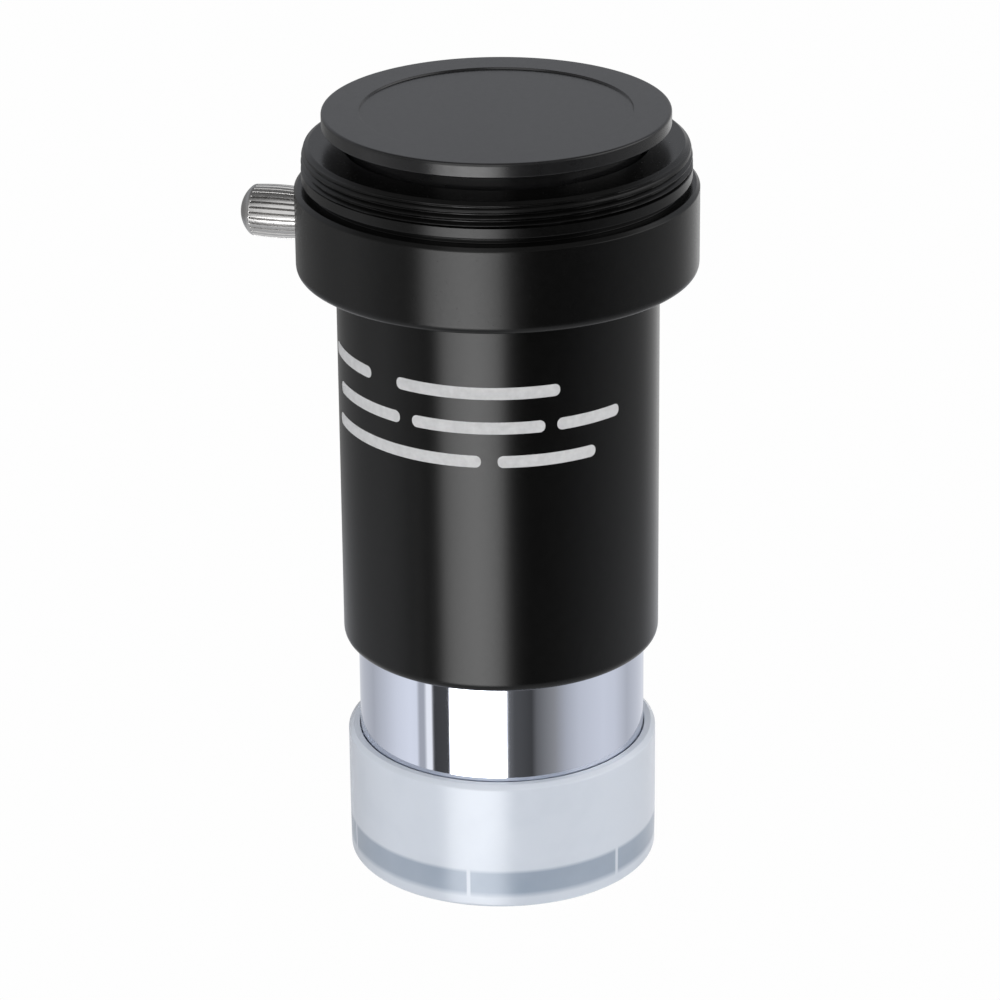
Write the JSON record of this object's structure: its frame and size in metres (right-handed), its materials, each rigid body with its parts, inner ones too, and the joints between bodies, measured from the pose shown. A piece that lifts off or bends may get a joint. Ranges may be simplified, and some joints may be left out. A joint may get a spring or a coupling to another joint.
{
  "type": "barlow lens",
  "caption": "Short 1.25 inch barlow lens: black barrel with a wide threaded collar, side thumbscrew, chromed nosepiece, inner lens group and a dust cap at each end.",
  "frame": {"origin": "on the optical axis, in the plane of the nose dust cap's flat base", "axes": "+Z along the optical axis to the eyepiece end, -X along the thumbscrew outwards, +Y completes the right-handed set"},
  "size_m": [0.0504, 0.0434, 0.0865],
  "materials": {
    "black_anodised": "satin",
    "black_baffle": "matte",
    "chrome": "polished",
    "nickel": "gloss",
    "brass": "satin",
    "nylon": "satin",
    "black_plastic": "gloss",
    "milky_plastic": "satin",
    "coated_glass": "polished"
  },
  "bodies": {
    "barlow_body": {"eyepiece_holder": "black_anodised", "compression_ring": "brass", "main_barrel": "black_anodised", "upper_baffle": "black_baffle", "lower_baffle": "black_baffle", "nosepiece": "chrome", "lens_cell": "black_baffle", "retaining_ring": "black_baffle", "doublet_flint": "coated_glass", "doublet_crown": "coated_glass", "spacer_ring": "black_baffle", "front_lens": "coated_glass"},
    "top_cap": {"top_dust_cap": "black_plastic"},
    "nose_cap": {"nose_dust_cap": "milky_plastic"},
    "screw_tip": {"thumbscrew_tip": "nylon"},
    "thumbscrew": {"thumbscrew_head": "nickel", "thumbscrew_stud": "nickel"}
  },
  "joints": [
    {"name": "top_cap_lift", "type": "slide", "parent": "barlow_body", "child": "top_cap", "axis": [0, 0, 1], "range_m": [0, 0.05]},
    {"name": "nose_cap_pull", "type": "slide", "parent": "barlow_body", "child": "nose_cap", "axis": [0, 0, -1], "range_m": [0, 0.05]},
    {"name": "thumbscrew_travel", "type": "slide", "parent": "barlow_body", "child": "screw_tip", "axis": [-1, 0, 0], "range_m": [0, 0.0035]},
    {"name": "thumbscrew_turn", "type": "hinge", "parent": "screw_tip", "child": "thumbscrew", "pos_m": [-0.0255, 0, 0.073], "axis": [-1, 0, 0], "range_deg": [0, 2520.5]}
  ],
  "couplings": [
    {"joint": "thumbscrew_turn", "follows": "thumbscrew_travel", "rad_per_m": 12566}
  ]
}
